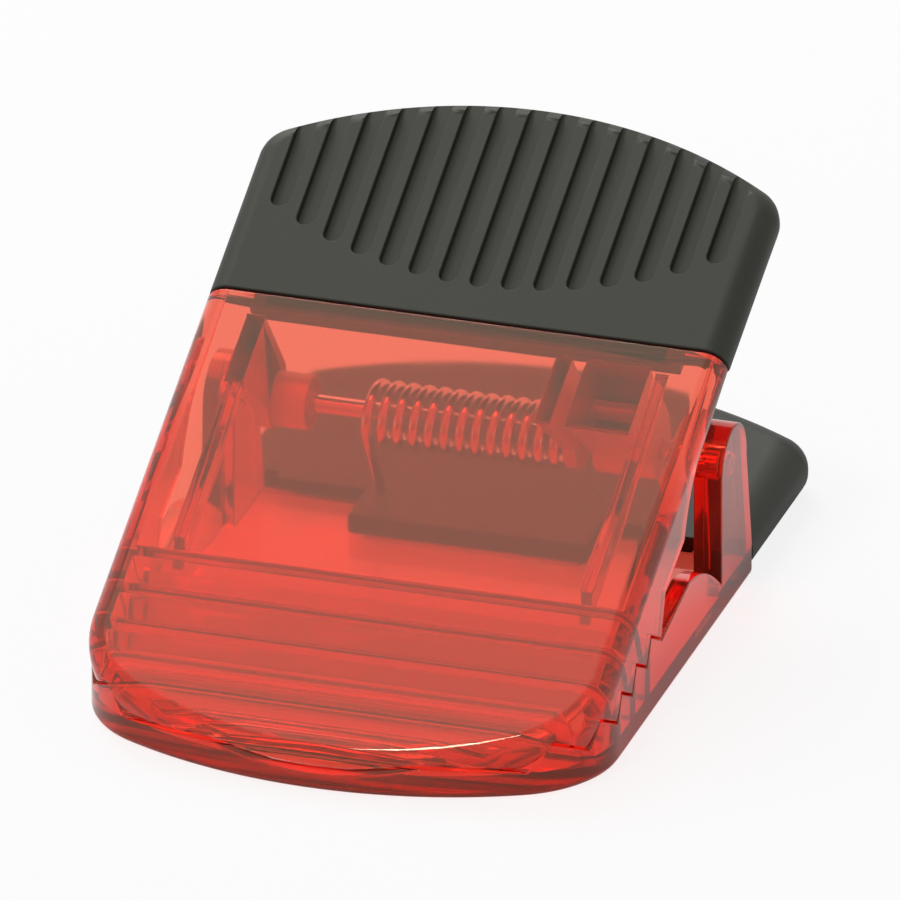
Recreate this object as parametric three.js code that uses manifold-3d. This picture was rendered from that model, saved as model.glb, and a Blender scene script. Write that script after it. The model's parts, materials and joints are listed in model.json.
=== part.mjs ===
// Magnetic memo clip: two clear plastic jaws with saw-toothed mouths, soft black grips,
// a steel hinge pin, a torsion spring and a bar magnet set into the underside.
// Millimetres. +Z is up, +Y runs back to the grips and -Y forward to the nose.
// The origin is the centre of the magnet's face, on which the clip sits.

import * as THREE from 'three';
import { mergeVertices } from 'three/addons/utils/BufferGeometryUtils.js';
import Module from 'manifold-3d';

const wasm = await Module();
wasm.setup();

// Fits
const seatGap = 0.3;
const seamGap = 0.3;

// Jaws, seen from above
const jawWidth = 60;
const noseArcRadius = 52;
const noseCornerRadius = 13;
const lowerLength = 66.6;
const noseOverhang = 0.67;
const noseTopHeight = 4.35;
const upperRimRadius = 2.6;
const lowerRimRadius = 0.9;
const plateThickness = 2.2;
const wallThickness = 2.2;
const ribThickness = 1.3;

// Hinge
const hingeY = -2;
const hingeHeight = 16.6;
const upperEdgeAhead = 3.7;
const upperEdgeAbove = 15.07;
const pinDiameter = 2;
const pinEndSkin = 1.2;
const earThickness = 3.5;
const earRadius = 4.7;
const barrelRadius = 3.4;
const lugLeftInset = 1.9;
const lugLeftWidth = 6;
const lugRightInset = 4.7;
const lugRightWidth = 7.1;
const lugRootLength = 9;
const springStopInset = 1.9;
const springStopWidth = 1.6;

// Rear edge of the lower jaw, behind the hinge
const lowerEdgeBehind = 6.8;

// Teeth along the mouth, counted from the throat to the nose
const toothCount = 6;
const toothPitch = 5.45;
const toothFlank = 4;
const toothRise = 2.1;
const lastToothRise = 0.6;
const throatSeamHeight = 7.55;
const noseSeamHeight = 2.1;

// Side wall of the lower jaw between the teeth and the ear
const humpBehind = 10.2;
const humpHeight = 9.9;
const earFootAhead = 4.7;
const earFootHeight = 4.2;

// Skirt of the upper jaw, as distances behind the throat and depths below the top face
const skirtRearDepth = 3.1;
const skirtMidBehind = 14;
const skirtMidDepth = 3.7;
const skirtCornerBehind = 10.5;
const skirtCornerDepth = 4.2;
const skirtStepBehind = 8.4;
const skirtStepDepth = 8.7;
const skirtFrontBehind = 1.5;
const skirtFrontDepth = 8.2;

// Long webs under the upper plate
const webInset = 6.6;
const webDepth = 6;

// Grips
const gripSideLength = 20.4;
const gripArcRadius = 56;
const gripCornerRadius = 4.5;
const gripRootDepth = 4.2;
const gripTipDepth = 7.5;
const gripRimRadius = 2.6;
const gripBandDepth = 0.5;
const gripPillowInset = 4;
const lipLength = 1.5;
const lipInset = 5.2;
const tabLength = 17;
const tabInset = 7;
const tabThickness = 1.2;
const tabRoot = 1;
const tabSkin = 0.5;

// Finger grooves in each grip
const grooveCount = 15;
const groovePitch = 3.6;
const grooveWidth = 2.1;
const grooveDepth = 0.9;
const grooveFrontSetback = 3.6;
const grooveFrontArcRadius = 42;

// Torsion spring
const springWire = 1.2;
const springMeanRadius = 3.1;
const springPitch = 1.79;
const springLeftInset = 7;
const springLowerAngle = THREE.MathUtils.degToRad(-60);
const springUpperAngle = THREE.MathUtils.degToRad(70);
const springStepsPerTurn = 8;
const springSides = 5;

// Bar magnet, and the apron of the lower grip that covers it
const magnetLength = 24;
const magnetWidth = 6;
const magnetThickness = 3.2;
const apronWall = 1.5;
const apronRoof = 1.5;

// Values that follow from the sizes above
const halfWidth = jawWidth / 2;
const lowerEdgeY = hingeY + lowerEdgeBehind;
const upperEdgeY = hingeY - upperEdgeAhead;
const upperEdgeZ = hingeHeight + upperEdgeAbove;
const lowerNoseY = lowerEdgeY - lowerLength;
const upperRun = upperEdgeY - lowerNoseY + noseOverhang;
const upperDrop = upperEdgeZ - noseTopHeight;
const upperLength = Math.hypot(upperRun, upperDrop);
const jawTilt = Math.atan2(upperDrop, upperRun);
const throatY = lowerNoseY + toothCount * toothPitch;
const seamSlope = (throatSeamHeight - noseSeamHeight) / (toothCount * toothPitch);
const earInside = halfWidth - earThickness;
const lugLeftOuter = earInside - lugLeftInset;
const lugRightOuter = earInside - lugRightInset;
const springStopOuter = lugRightOuter - lugRightWidth - springStopInset;
const springLeft = -(lugLeftOuter - lugLeftWidth - springLeftInset);
const springRight = springStopOuter - springStopWidth - seatGap - springWire / 2;
const springTurns = Math.floor((springRight - springLeft) / springPitch) + 1;
const pinLength = 2 * (halfWidth - pinEndSkin - seatGap);
const pinBoreRadius = pinDiameter / 2 + seatGap;
const apronTop = magnetThickness + seatGap + apronRoof;
const reach = 2 * (lowerLength + upperLength);
const arcSteps = 8;

// Solids

function toSolid(geometry) {
  const bare = geometry.index ? geometry.clone() : geometry;
  bare.deleteAttribute('normal');
  bare.deleteAttribute('uv');
  const merged = mergeVertices(bare, 1e-5);
  return new wasm.Manifold(new wasm.Mesh({
    numProp: 3,
    vertProperties: new Float32Array(merged.attributes.position.array),
    triVerts: new Uint32Array(merged.index.array),
  }));
}

function toGeometry(solid) {
  const mesh = solid.getMesh();
  const geometry = new THREE.BufferGeometry();
  geometry.setAttribute('position', new THREE.BufferAttribute(mesh.vertProperties, 3));
  geometry.setIndex(new THREE.BufferAttribute(mesh.triVerts, 1));
  geometry.computeVertexNormals();
  return geometry;
}

function moved(geometry, matrix) {
  return geometry.clone().applyMatrix4(matrix);
}

// A box from one corner to the opposite one.
function boxBetween(x0, x1, y0, y1, z0, z1) {
  const geometry = new THREE.BoxGeometry(x1 - x0, y1 - y0, z1 - z0);
  geometry.translate((x0 + x1) / 2, (y0 + y1) / 2, (z0 + z1) / 2);
  return geometry;
}

// A slab between two X positions whose outline is given in the Y-Z plane.
function slab(outline, x0, x1) {
  const shape = new THREE.Shape(outline.map(([y, z]) => new THREE.Vector2(y, z)));
  const geometry = new THREE.ExtrudeGeometry(shape, { depth: x1 - x0, bevelEnabled: false });
  const basis = new THREE.Matrix4().makeBasis(
    new THREE.Vector3(0, 1, 0), new THREE.Vector3(0, 0, 1), new THREE.Vector3(1, 0, 0));
  return geometry.applyMatrix4(basis).translate(x0, 0, 0);
}

// A round bar along X.
function barAlongX(radius, x0, x1, y, z, sides) {
  const geometry = new THREE.CylinderGeometry(radius, radius, x1 - x0, sides);
  geometry.rotateZ(Math.PI / 2);
  return geometry.translate((x0 + x1) / 2, y, z);
}

// Closed body through rings of equal length, each a flat or sloping loop of points.
function loft(rings) {
  const count = rings[0].length;
  const positions = rings.flat().flatMap((point) => [point.x, point.y, point.z]);
  const indices = [];
  for (let ring = 0; ring + 1 < rings.length; ring += 1) {
    for (let i = 0; i < count; i += 1) {
      const a = ring * count + i;
      const b = ring * count + (i + 1) % count;
      indices.push(a, b, b + count, a, b + count, a + count);
    }
  }
  const faces = THREE.ShapeUtils.triangulateShape(
    rings[0].map((point) => new THREE.Vector2(point.x, point.y)), []);
  const last = (rings.length - 1) * count;
  for (const [a, b, c] of faces) {
    indices.push(a, c, b);
    indices.push(last + a, last + b, last + c);
  }
  const geometry = new THREE.BufferGeometry();
  geometry.setAttribute('position', new THREE.Float32BufferAttribute(positions, 3));
  geometry.setIndex(indices);
  return geometry;
}

function arcPoints(cx, cy, radius, from, to, steps) {
  return Array.from({ length: steps + 1 }, (_, i) => {
    const angle = from + (to - from) * i / steps;
    return [cx + radius * Math.cos(angle), cy + radius * Math.sin(angle)];
  });
}

// Half of an outline with straight sides, round corners and a wide end arc, mirrored.
// The end arc's far point lies at the given length, and inset shrinks sides and end.
function domeOutline(length, endRadius, cornerRadius, inset, steps) {
  const corner = cornerRadius - inset;
  const cornerX = halfWidth - cornerRadius;
  const arcCentre = length - endRadius;
  const span = endRadius - cornerRadius;
  const cornerY = arcCentre + Math.sqrt(span * span - cornerX * cornerX);
  const meet = Math.atan2(cornerY - arcCentre, cornerX);
  const right = [
    [halfWidth - inset, 0],
    ...arcPoints(cornerX, cornerY, corner, 0, meet, steps),
    ...arcPoints(0, arcCentre, endRadius - inset, meet, Math.PI / 2, steps).slice(1),
  ];
  const left = right.slice(0, -1).reverse().map(([x, y]) => [-x, y]);
  return [...right, ...left];
}

// Jaw outline with the nose toward -Y and the straight rear edge at y = 0.
function jawOutline(length, inset) {
  const points = domeOutline(length, noseArcRadius, noseCornerRadius, inset, arcSteps);
  return points.map(([x, y]) => [x, -y]).reverse();
}

function ringAt(outline, z) {
  return outline.map(([x, y]) => new THREE.Vector3(x, y, z));
}

// Places a body made in the upper plate's own frame: rear edge at y = 0, top face at z = 0.
const upperFrame = new THREE.Matrix4()
  .makeRotationX(jawTilt)
  .setPosition(0, upperEdgeY, upperEdgeZ);
const lowerFrame = new THREE.Matrix4().makeTranslation(0, lowerEdgeY, 0);

// Height of the upper plate's top face above the ground at a given Y.
function plateTop(y) {
  return upperEdgeZ + (y - upperEdgeY) * Math.tan(jawTilt);
}

// Side view of the mouth: a row of teeth from the throat to the nose.
function valleyHeight(y) {
  return throatSeamHeight - (throatY - y) * seamSlope;
}

function peakRise(tooth) {
  return tooth === toothCount - 1 ? lastToothRise : toothRise;
}

function mouthLine() {
  const points = [];
  for (let tooth = 0; tooth < toothCount; tooth += 1) {
    const valley = throatY - tooth * toothPitch;
    points.push([valley, valleyHeight(valley)]);
    points.push([valley - toothFlank, valleyHeight(valley) + peakRise(tooth)]);
  }
  points.push([lowerNoseY, noseSeamHeight]);
  return points;
}

// The upper teeth stand off the lower ones by an even gap on both flanks.
function upperMouthLine() {
  const flank = new THREE.Vector2(toothFlank, toothRise).normalize();
  const shiftY = -seamGap * (flank.x - flank.y);
  const shiftZ = seamGap * (flank.x + flank.y);
  return mouthLine().map(([y, z]) => [y + shiftY, z + shiftZ]);
}

// Lower jaw

function earTopPoints() {
  return arcPoints(hingeY, hingeHeight, earRadius, -0.1, Math.PI, 12);
}

function lowerSideOutline() {
  const footY = hingeY - earFootAhead;
  const humpY = throatY + humpBehind;
  const hump = new THREE.QuadraticBezierCurve(
    new THREE.Vector2(footY, earFootHeight),
    new THREE.Vector2((footY + humpY) / 2, humpHeight - 0.4),
    new THREE.Vector2(humpY, humpHeight),
  ).getPoints(6).map((point) => [point.x, point.y]);
  return [
    [lowerEdgeY, -1],
    [lowerEdgeY, earFootHeight],
    ...earTopPoints(),
    ...hump,
    ...mouthLine(),
    [lowerNoseY - 1, noseSeamHeight],
    [lowerNoseY - 1, -1],
  ];
}

// Everything under the mouth line, reaching back under the throat.
function underMouth() {
  const line = mouthLine();
  return slab([
    [throatY + toothPitch, -1],
    [throatY + toothPitch, throatSeamHeight],
    ...line,
    [lowerNoseY - 1, noseSeamHeight],
    [lowerNoseY - 1, -1],
  ], -halfWidth, halfWidth);
}

function lowerShell(inset, floor) {
  const rimSteps = 3;
  const rings = [];
  if (inset === 0) {
    for (let i = 0; i <= rimSteps; i += 1) {
      const angle = (Math.PI / 2) * i / rimSteps;
      const shrink = lowerRimRadius * (1 - Math.sin(angle));
      const rise = lowerRimRadius * (1 - Math.cos(angle));
      rings.push(ringAt(jawOutline(lowerLength, shrink), rise));
    }
  } else {
    rings.push(ringAt(jawOutline(lowerLength, inset), floor));
  }
  rings.push(ringAt(jawOutline(lowerLength, inset), hingeHeight + 2 * earRadius));
  return moved(loft(rings), lowerFrame);
}

function makeLowerJaw() {
  const outer = toSolid(lowerShell(0, 0));
  const inner = toSolid(lowerShell(wallThickness, plateThickness));
  const behind = toSolid(boxBetween(
    -halfWidth + wallThickness, halfWidth - wallThickness,
    lowerEdgeY - lipLength, lowerEdgeY + 1,
    plateThickness, hingeHeight + 3 * earRadius));
  const side = toSolid(slab(lowerSideOutline(), -halfWidth - 1, halfWidth + 1));
  let jaw = outer.intersect(side).subtract(inner).subtract(behind);

  // Ribs that stand across the tray under each tooth's crest
  const mouth = toSolid(underMouth()).intersect(outer);
  for (let tooth = 0; tooth < toothCount - 1; tooth += 1) {
    const crest = throatY - tooth * toothPitch - toothFlank;
    const rib = toSolid(boxBetween(
      -halfWidth, halfWidth, crest - 0.4 * ribThickness, crest + ribThickness,
      plateThickness / 2, hingeHeight));
    jaw = jaw.add(rib.intersect(mouth));
  }

  // Thickened ears, inside the walls
  const earOutline = [
    [lowerEdgeY, plateThickness / 2],
    [lowerEdgeY, earFootHeight],
    ...earTopPoints(),
    [hingeY - earFootAhead, plateThickness / 2],
  ];
  for (const side2 of [-1, 1]) {
    const outside = halfWidth - wallThickness / 2;
    const ear = slab(
      earOutline, side2 < 0 ? -outside : earInside, side2 < 0 ? -earInside : outside);
    jaw = jaw.add(toSolid(ear));
  }

  // Blind bores for the pin
  const bore = barAlongX(
    pinBoreRadius, -halfWidth + pinEndSkin, halfWidth - pinEndSkin, hingeY, hingeHeight, 20);
  jaw = jaw.subtract(toSolid(bore));

  // Window for the magnet, which stands on the ground with its centre at the origin
  const windowX = magnetLength / 2 + seatGap;
  const windowY = magnetWidth / 2 + seatGap;
  jaw = jaw.subtract(toSolid(boxBetween(
    -windowX, windowX, -windowY, windowY, -1, plateThickness + 1)));

  // Tab that carries the grip
  const tab = tabBody(0).rotateY(Math.PI);
  jaw = jaw.add(toSolid(moved(tab, lowerFrame)));
  return toGeometry(jaw);
}

// Upper jaw

function upperShell(inset, top) {
  const depth = upperEdgeZ;
  const rimSteps = 5;
  const rings = [];
  rings.push(ringAt(jawOutline(upperLength, inset), -depth));
  if (inset === 0) {
    for (let i = rimSteps; i >= 0; i -= 1) {
      const angle = (Math.PI / 2) * i / rimSteps;
      const shrink = upperRimRadius * (1 - Math.sin(angle));
      const drop = upperRimRadius * (1 - Math.cos(angle));
      rings.push(ringAt(jawOutline(upperLength, shrink), -drop));
    }
  } else {
    rings.push(ringAt(jawOutline(upperLength, inset), -top));
  }
  return moved(loft(rings), upperFrame);
}

// Side view of all that the skirt and the teeth may fill, closed high above the plate.
function upperSideOutline() {
  const below = (behind, depth) => {
    const y = throatY + behind;
    return [y, plateTop(y) - depth];
  };
  const bend = new THREE.QuadraticBezierCurve(
    new THREE.Vector2(...below(skirtMidBehind, skirtMidDepth)),
    new THREE.Vector2(...below(skirtCornerBehind, skirtCornerDepth)),
    new THREE.Vector2(...below(skirtStepBehind, skirtStepDepth)),
  ).getPoints(6).map((point) => [point.x, point.y]);
  const rearY = upperEdgeY + lipLength;
  const rear = [rearY, plateTop(rearY) - skirtRearDepth];
  return [
    rear,
    ...bend,
    below(skirtFrontBehind, skirtFrontDepth),
    ...upperMouthLine(),
    [lowerNoseY - reach / 8, noseSeamHeight + seamGap],
    [lowerNoseY - reach / 8, reach],
    [upperEdgeY + reach / 8, reach],
    [upperEdgeY + reach / 8, rear[1]],
  ];
}

function aboveMouth() {
  return slab([
    ...upperMouthLine(),
    [lowerNoseY - reach / 8, noseSeamHeight + seamGap],
    [lowerNoseY - reach / 8, reach],
    [throatY + toothPitch, reach],
    [throatY + toothPitch, throatSeamHeight],
  ], -halfWidth, halfWidth);
}

// A lug: a root under the plate that tapers down into a barrel round the pin.
function lugOutline() {
  const root = upperEdgeY - lipLength - seatGap;
  const under = (y) => [y, plateTop(y) - plateThickness / 2];
  return [
    under(root),
    under(root - lugRootLength),
    [hingeY - barrelRadius, hingeHeight],
    ...arcPoints(hingeY, hingeHeight, barrelRadius, Math.PI, 2 * Math.PI, 10).slice(1),
    [hingeY + barrelRadius * 0.8, hingeHeight + barrelRadius * 0.9],
  ];
}

function makeUpperJaw() {
  const outer = toSolid(upperShell(0, 0));
  const inner = toSolid(upperShell(wallThickness, plateThickness));
  const behind = toSolid(moved(boxBetween(
    -halfWidth + wallThickness, halfWidth - wallThickness,
    -lipLength, 1, -upperEdgeZ, -plateThickness), upperFrame));
  const side = toSolid(slab(upperSideOutline(), -halfWidth - 1, halfWidth + 1));
  let jaw = outer.subtract(inner).subtract(behind).intersect(side);

  // Ribs that hang from the plate into each valley of the teeth
  const mouth = toSolid(aboveMouth()).intersect(outer);
  for (let tooth = 1; tooth < toothCount; tooth += 1) {
    const valley = throatY - tooth * toothPitch;
    const height = plateTop(valley) - valleyHeight(valley);
    const along = (valley - upperEdgeY) / Math.cos(jawTilt) - height * Math.sin(jawTilt);
    const rib = toSolid(moved(boxBetween(
      -halfWidth, halfWidth, along - ribThickness / 2, along + ribThickness / 2,
      -upperEdgeZ, -plateThickness / 2), upperFrame));
    jaw = jaw.add(rib.intersect(mouth));
  }

  // Long webs from the lugs to the teeth
  const webFront = throatY - toothPitch - 1;
  const webRear = upperEdgeY - lipLength - seatGap;
  const webOutline = [
    [webRear, plateTop(webRear) - plateThickness / 2],
    [webFront, plateTop(webFront) - plateThickness / 2],
    [webFront, plateTop(webFront) - webDepth],
    [throatY + toothPitch, plateTop(throatY + toothPitch) - webDepth],
    [webRear, plateTop(webRear) - plateThickness - 1],
  ];
  for (const x of [-halfWidth + webInset, halfWidth - webInset]) {
    jaw = jaw.add(toSolid(slab(webOutline, x - ribThickness / 2, x + ribThickness / 2)));
  }

  // Lugs and the thin plate that stops the spring
  const lugs = [
    [-lugLeftOuter, -lugLeftOuter + lugLeftWidth],
    [lugRightOuter - lugRightWidth, lugRightOuter],
    [springStopOuter - springStopWidth, springStopOuter],
  ];
  for (const [x0, x1] of lugs) {
    jaw = jaw.add(toSolid(slab(lugOutline(), x0, x1)));
  }
  jaw = jaw.subtract(toSolid(barAlongX(
    pinBoreRadius, -earInside, earInside, hingeY, hingeHeight, 20)));

  // Tab that carries the grip
  jaw = jaw.add(toSolid(moved(tabBody(0), upperFrame)));
  return toGeometry(jaw);
}

// Grips, made with the outer face at z = 0, depth along -z and the jaw's edge at y = 0

function gripDepthAt(along) {
  const full = gripSideLength + gripArcRadius - gripSideReach();
  return gripRootDepth + (gripTipDepth - gripRootDepth) * along / full;
}

// Distance from the corner's centre to the end arc's centre, measured along the grip.
function gripSideReach() {
  const span = gripArcRadius - gripCornerRadius;
  const cornerX = halfWidth - gripCornerRadius;
  return Math.sqrt(span * span - cornerX * cornerX);
}

function gripLength() {
  return gripSideLength - gripSideReach() + gripArcRadius;
}

// Side view of the tab inside a grip, grown by a gap. It steps down below the grooves.
function tabOutline(gap) {
  const top = -plateThickness + tabThickness;
  const low = -grooveDepth - tabSkin - seatGap;
  const step = grooveFrontSetback - seatGap;
  return [
    [-tabRoot - 2 * gap, top + gap],
    [step - 2 * tabThickness, top + gap],
    [step, low + gap],
    [tabLength + gap, low + gap],
    [tabLength + gap, low - tabThickness - gap],
    [step - tabThickness, low - tabThickness - gap],
    [step - 3 * tabThickness, top - tabThickness - gap],
    [-tabRoot - 2 * gap, top - tabThickness - gap],
  ];
}

function tabBody(gap) {
  const half = halfWidth - tabInset + gap;
  return slab(tabOutline(gap), -half, half);
}

function gripOutline(inset) {
  return domeOutline(gripLength(), gripArcRadius, gripCornerRadius, inset, arcSteps + 2);
}

function gripBody() {
  const steps = 4;
  const band = gripRimRadius + gripBandDepth;
  const rings = [];
  for (let i = 0; i <= steps; i += 1) {
    const angle = (Math.PI / 2) * (1 - i / steps);
    rings.push(gripOutline(gripPillowInset * (1 - Math.cos(angle))).map(([x, y]) => {
      const depth = band + (gripDepthAt(y) - band) * Math.sin(angle);
      return new THREE.Vector3(x, y, -depth);
    }));
  }
  for (let i = steps; i >= 0; i -= 1) {
    const angle = (Math.PI / 2) * i / steps;
    const shrink = gripRimRadius * (1 - Math.sin(angle));
    rings.push(ringAt(gripOutline(shrink), -gripRimRadius * (1 - Math.cos(angle))));
  }
  return loft(rings);
}

// A groove with a round front end on the front arc, which runs out over the rear edge.
function grooveShape(x) {
  const half = grooveWidth / 2;
  const frontCentre = grooveFrontSetback + grooveFrontArcRadius;
  const front = frontCentre - Math.sqrt(grooveFrontArcRadius ** 2 - x * x) + half;
  const shape = new THREE.Shape();
  shape.moveTo(x + half, gripLength() + 1);
  shape.lineTo(x - half, gripLength() + 1);
  shape.absarc(x, front, half, Math.PI, 2 * Math.PI, false);
  return new THREE.ExtrudeGeometry(shape, {
    depth: 2 * grooveDepth, bevelEnabled: false, curveSegments: 4,
  }).translate(0, 0, -grooveDepth);
}

// The apron lies on the lower jaw's floor, over the magnet, and runs back into the grip
// where the grip's depth has reached the apron's. The lower grip's own frame is turned over.
function withApron(grip) {
  const halfLength = magnetLength / 2 + seatGap;
  const halfDepth = magnetWidth / 2 + seatGap;
  const slope = (gripTipDepth - gripRootDepth) / gripLength();
  const rear = (apronTop - gripRootDepth) / slope + seatGap;
  const apron = boxBetween(
    -halfLength - apronWall, halfLength + apronWall,
    -lowerEdgeY - halfDepth - apronWall, Math.max(rear, 1),
    -apronTop, -plateThickness - seatGap);
  const room = boxBetween(
    -halfLength, halfLength, -lowerEdgeY - halfDepth, -lowerEdgeY + halfDepth,
    apronRoof - apronTop, 0);
  return grip.add(toSolid(apron)).subtract(toSolid(room));
}

function makeGrip(coversMagnet) {
  let grip = toSolid(gripBody());
  const lip = boxBetween(
    -halfWidth + lipInset, halfWidth - lipInset, -lipLength, 1,
    -gripRootDepth, -plateThickness - seatGap);
  grip = grip.add(toSolid(lip)).translate([0, seatGap, 0]);
  if (coversMagnet) {
    grip = withApron(grip);
  }
  grip = grip.subtract(toSolid(tabBody(seatGap)));
  const first = -groovePitch * (grooveCount - 1) / 2;
  for (let i = 0; i < grooveCount; i += 1) {
    grip = grip.subtract(toSolid(grooveShape(first + i * groovePitch)));
  }
  return toGeometry(grip);
}

// Torsion spring

// Where the wire stands on its mean circle, and how high that is over the ground and
// over the upper plate's top face.
function onCoil(angle) {
  return [
    hingeY + springMeanRadius * Math.cos(angle),
    hingeHeight + springMeanRadius * Math.sin(angle),
  ];
}

function heightOverPlate(y, z) {
  return (z - upperEdgeZ) * Math.cos(jawTilt) - (y - upperEdgeY) * Math.sin(jawTilt);
}

// Leg lengths that end just short of the apron below and of the upper grip.
function lowerLegLength(touch) {
  const lean = -springLowerAngle;
  const drop = onCoil(touch)[1] - apronTop - seatGap - springWire / 2 * Math.cos(lean);
  return drop / Math.sin(lean);
}

function upperLegLength(touch) {
  const lean = springUpperAngle - jawTilt;
  const depth = -heightOverPlate(...onCoil(touch));
  const stand = gripRootDepth + 2 * seatGap + springWire / 2 * Math.cos(lean);
  return (depth - stand) / Math.sin(lean);
}

// The lower leg comes off the left end and the upper leg off the right end, and both
// lean back. The coil turns so that closing the grips winds it tighter.
function springPath() {
  const start = springLowerAngle - Math.PI / 2;
  const end = springUpperAngle + Math.PI / 2 - 2 * Math.PI * springTurns;
  const turns = (start - end) / (2 * Math.PI);
  const steps = Math.round(turns * springStepsPerTurn);
  const path = [];
  const add = (x, y, z, angle) => path.push({
    point: new THREE.Vector3(x, y, z),
    out: new THREE.Vector3(0, Math.cos(angle), Math.sin(angle)),
  });
  const leg = (x, touch, direction, length) => {
    const [y, z] = onCoil(touch);
    add(x, y + length * Math.cos(direction), z + length * Math.sin(direction), touch);
  };
  leg(springLeft, start, springLowerAngle, lowerLegLength(start));
  for (let i = 0; i <= steps; i += 1) {
    const part = i / steps;
    const angle = start + (end - start) * part;
    const [y, z] = onCoil(angle);
    add(springLeft + (springRight - springLeft) * part, y, z, angle);
  }
  leg(springRight, end, springUpperAngle, upperLegLength(end));
  return path;
}

function sweepWire(path) {
  const rings = path.map(({ point, out }, i) => {
    const before = path[Math.max(i - 1, 0)].point;
    const after = path[Math.min(i + 1, path.length - 1)].point;
    const along = after.clone().sub(before).normalize();
    const across = along.clone().cross(out).normalize();
    const outward = across.clone().cross(along).normalize();
    return Array.from({ length: springSides }, (_, k) => {
      const angle = 2 * Math.PI * k / springSides;
      return point.clone()
        .addScaledVector(outward, springWire / 2 * Math.cos(angle))
        .addScaledVector(across, springWire / 2 * Math.sin(angle));
    });
  });
  const positions = rings.flat().flatMap((point) => [point.x, point.y, point.z]);
  const indices = [];
  for (let ring = 0; ring + 1 < rings.length; ring += 1) {
    for (let k = 0; k < springSides; k += 1) {
      const a = ring * springSides + k;
      const b = ring * springSides + (k + 1) % springSides;
      indices.push(a, b, b + springSides, a, b + springSides, a + springSides);
    }
  }
  const last = (rings.length - 1) * springSides;
  for (let k = 1; k + 1 < springSides; k += 1) {
    indices.push(0, k + 1, k);
    indices.push(last, last + k, last + k + 1);
  }
  const geometry = new THREE.BufferGeometry();
  geometry.setAttribute('position', new THREE.Float32BufferAttribute(positions, 3));
  geometry.setIndex(indices);
  return geometry;
}

// Least distance between two turns of the wire, skin to skin, on points along its path.
function leastSelfGap(path) {
  const points = path.map(({ point }) => point);
  let least = Infinity;
  for (let i = 0; i < points.length; i += 1) {
    for (let j = i + springStepsPerTurn / 2; j < points.length; j += 1) {
      least = Math.min(least, points[i].distanceTo(points[j]));
    }
  }
  return least - springWire;
}

function makeSpring() {
  const path = springPath();
  console.log('spring: least gap between turns', leastSelfGap(path).toFixed(2), 'mm');
  return toGeometry(toSolid(sweepWire(path)));
}

// Pin and magnet

function makePin() {
  return barAlongX(pinDiameter / 2, -pinLength / 2, pinLength / 2, hingeY, hingeHeight, 20);
}

function makeMagnet() {
  return boxBetween(
    -magnetLength / 2, magnetLength / 2, -magnetWidth / 2, magnetWidth / 2,
    0, magnetThickness);
}

// Scene

const clearRed = { color: 0xd8261a, roughness: 0.12, metalness: 0 };
const softBlack = { color: 0x2b2b29, roughness: 0.7, metalness: 0 };
const steel = { color: 0xb9bcc0, roughness: 0.3, metalness: 1 };
const ferrite = { color: 0x3a3c3f, roughness: 0.6, metalness: 0.2 };

function piece(name, geometry, look) {
  const mesh = new THREE.Mesh(geometry, new THREE.MeshStandardMaterial(look));
  mesh.name = name;
  return mesh;
}

const clip = new THREE.Group();
clip.name = 'magnetic_memo_clip';
clip.add(piece('lower_jaw', makeLowerJaw(), clearRed));
clip.add(piece('upper_jaw', makeUpperJaw(), clearRed));

const upperGrip = piece('upper_grip', makeGrip(false), softBlack);
upperGrip.position.set(0, upperEdgeY, upperEdgeZ);
upperGrip.rotation.x = jawTilt;
clip.add(upperGrip);

const lowerGrip = piece('lower_grip', makeGrip(true), softBlack);
lowerGrip.position.set(0, lowerEdgeY, 0);
lowerGrip.rotation.y = Math.PI;
clip.add(lowerGrip);

clip.add(piece('hinge_pin', makePin(), steel));
clip.add(piece('torsion_spring', makeSpring(), steel));
clip.add(piece('magnet', makeMagnet(), ferrite));

export default clip;
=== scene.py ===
"""Magnetic memo clip: clear red jaws with saw teeth, black grips, pin, torsion spring and magnet.

Forms are worked out in millimetres and end in metres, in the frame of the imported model:
+Z up, +Y back to the grips, -Y forward to the nose, origin under the magnet.
"""

import json
import math

import bmesh
import bpy
from mathutils import Matrix, Vector


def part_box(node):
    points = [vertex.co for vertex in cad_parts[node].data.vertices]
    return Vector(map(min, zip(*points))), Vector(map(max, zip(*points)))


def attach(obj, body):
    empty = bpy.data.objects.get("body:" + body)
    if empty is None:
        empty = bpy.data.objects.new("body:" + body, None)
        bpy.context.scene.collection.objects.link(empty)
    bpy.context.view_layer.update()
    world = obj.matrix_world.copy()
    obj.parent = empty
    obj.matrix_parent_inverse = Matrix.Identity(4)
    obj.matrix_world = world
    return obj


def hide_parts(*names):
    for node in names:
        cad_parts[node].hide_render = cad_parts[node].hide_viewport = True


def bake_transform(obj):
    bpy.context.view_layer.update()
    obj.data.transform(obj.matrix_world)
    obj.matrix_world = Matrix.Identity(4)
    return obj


bl_info = {
    "name": "Magnetic Memo Clip",
    "version": (1, 0, 0),
    "blender": (4, 5, 0),
    "location": "3D View > Sidebar > Memo Clip",
    "description": "Builds a sprung memo clip with clear jaws and soft grips round its packed model",
    "category": "Add Mesh",
}

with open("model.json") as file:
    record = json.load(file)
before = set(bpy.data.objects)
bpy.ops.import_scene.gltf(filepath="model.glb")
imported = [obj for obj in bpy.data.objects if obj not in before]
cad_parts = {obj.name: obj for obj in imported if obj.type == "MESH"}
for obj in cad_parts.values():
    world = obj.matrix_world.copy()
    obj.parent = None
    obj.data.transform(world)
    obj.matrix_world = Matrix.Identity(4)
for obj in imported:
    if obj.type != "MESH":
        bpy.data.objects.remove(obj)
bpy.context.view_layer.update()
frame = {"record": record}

MM = 0.001
UP = Vector((0, 0, 1))
ALONG_X = Vector((1, 0, 0))
WHITE = (1.0, 1.0, 1.0, 1.0)
# A cutter reaches this far past the face that it opens, or this far beyond the whole clip
PAST = 1
FAR = 30
# Places this close together are one
TOUCH = 1e-4


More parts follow.
